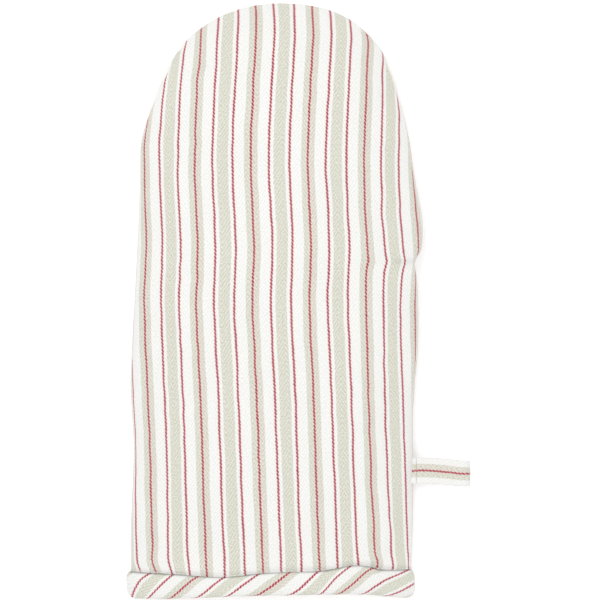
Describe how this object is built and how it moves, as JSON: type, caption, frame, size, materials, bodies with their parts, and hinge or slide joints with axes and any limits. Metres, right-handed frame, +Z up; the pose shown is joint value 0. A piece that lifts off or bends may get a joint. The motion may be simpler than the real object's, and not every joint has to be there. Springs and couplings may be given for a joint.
{
  "type": "oven mitt",
  "caption": "Padded striped cotton oven mitt, lying on its palm with the thumb folded under, with a bound cuff and a side hanging loop.",
  "frame": {"origin": "on the resting plane, under the middle of the mitt and its loop", "axes": "+Y from the cuff to the finger tips, +Z up out of the back of the mitt, +X towards the side with the hanging loop"},
  "size_m": [0.1886, 0.3301, 0.0407],
  "materials": {
    "striped_twill": "white herringbone cotton twill with greenish-beige stripes and fine red lines",
    "bias_binding": "the same striped twill cut on the bias, folded and pressed",
    "loop_strip": "the same striped twill, one stripe wide, folded and pressed",
    "lining": "plain white cotton",
    "wadding": "off-white cotton wadding",
    "thread": "white sewing thread"
  },
  "bodies": {
    "hand": {"back_shell_cuff_half": "striped_twill", "back_wadding_cuff_half": "wadding", "back_lining_cuff_half": "lining", "palm_shell_cuff_half": "striped_twill", "palm_wadding_cuff_half": "wadding", "palm_lining_cuff_half": "lining", "side_seam_thread_cuff_half": "thread", "palm_seam_thread": "thread", "cuff_binding": "bias_binding", "cuff_binding_thread": "thread", "loop_tail": "loop_strip"},
    "fingers": {"back_shell_finger_half": "striped_twill", "back_wadding_finger_half": "wadding", "back_lining_finger_half": "lining", "palm_shell_finger_half": "striped_twill", "palm_wadding_finger_half": "wadding", "palm_lining_finger_half": "lining", "side_seam_thread_finger_half": "thread"},
    "thumb": {"thumb_inner_shell": "striped_twill", "thumb_inner_wadding": "wadding", "thumb_inner_lining": "lining", "thumb_outer_shell": "striped_twill", "thumb_outer_wadding": "wadding", "thumb_outer_lining": "lining", "thumb_seam_thread": "thread"},
    "loop": {"hanging_loop": "loop_strip"}
  },
  "joints": [
    {"name": "finger_fold", "type": "hinge", "parent": "hand", "child": "fingers", "pos_m": [-0.01525, 0.022, 0.0164], "axis": [-1, 0, 0], "range_deg": [0, 50]},
    {"name": "thumb_open", "type": "hinge", "parent": "fingers", "child": "thumb", "pos_m": [0.02475, 0.022, 0.0164], "axis": [-1, 0, 0], "range_deg": [0, 80]},
    {"name": "loop_swing", "type": "hinge", "parent": "hand", "child": "loop", "pos_m": [0.06475, -0.095, 0.00991], "axis": [0, 1, 0], "range_deg": [-75, 75]}
  ]
}
